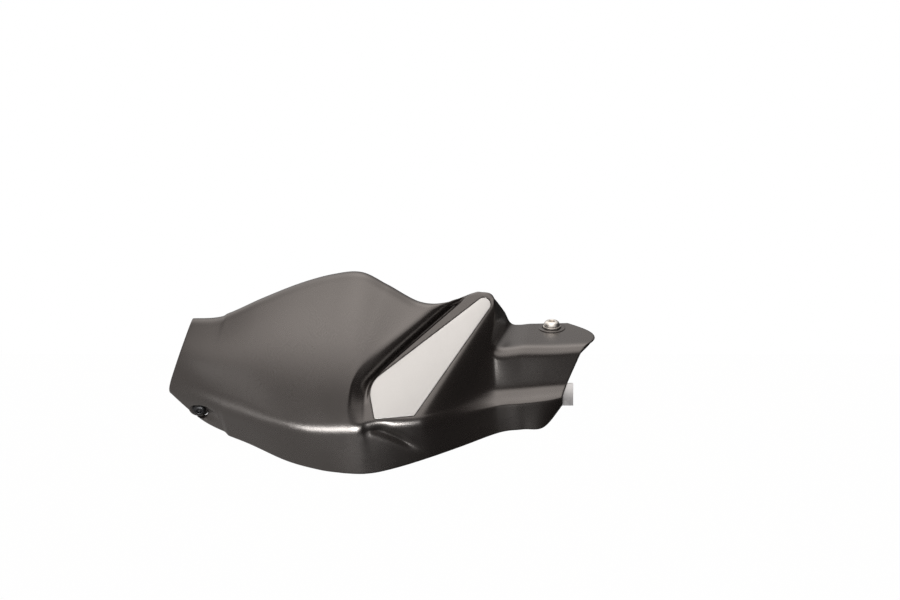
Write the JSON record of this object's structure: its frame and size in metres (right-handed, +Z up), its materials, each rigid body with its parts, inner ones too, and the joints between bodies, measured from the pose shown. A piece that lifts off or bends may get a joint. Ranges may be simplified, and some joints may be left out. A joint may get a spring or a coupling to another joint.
{
  "type": "motorcycle hand guard",
  "caption": "Moulded hand guard for the right end of a motorcycle handlebar, with a slanted silver inlay, a bar-end weight mounting and a clamp bracket.",
  "frame": {"origin": "on the handlebar's axis, at the open end of the bar, where the expander plug enters it", "axes": "+X inboard along the handlebar, -Y forward, +Z up"},
  "size_m": [0.284, 0.1205, 0.1341],
  "materials": {
    "shell_black": "fine-grained satin moulding",
    "inlay_silver": "satin silver paint",
    "spring_steel": "black oxide",
    "bright_steel": "bright zinc",
    "black_rubber": "matte",
    "cast_alloy": "bead blasted",
    "black_nylon": "matte",
    "black_steel": "black zinc",
    "dark_alloy": "turned and dark anodised",
    "brass_nut": "turned"
  },
  "bodies": {
    "root": {"guard_shell": "shell_black", "accent_panel": "inlay_silver", "accent_clips": "spring_steel", "tongue_screw": "bright_steel", "tongue_washer": "bright_steel", "tongue_collar": "bright_steel", "tongue_grommet": "black_rubber", "inner_bracket": "cast_alloy", "bracket_pad": "black_rubber", "clamp_sleeve": "black_nylon", "clamp_cap": "cast_alloy", "clamp_bolts": "black_steel", "clamp_washers": "bright_steel", "outer_arm": "cast_alloy", "flange_screw": "black_steel", "flange_collar": "bright_steel", "flange_washer": "black_nylon", "bar_end_weight": "dark_alloy", "bar_end_washer": "bright_steel", "bar_end_bolt": "black_steel", "thrust_disc": "bright_steel", "expander_sleeve": "black_rubber", "expander_cone": "brass_nut"}
  },
  "joints": []
}
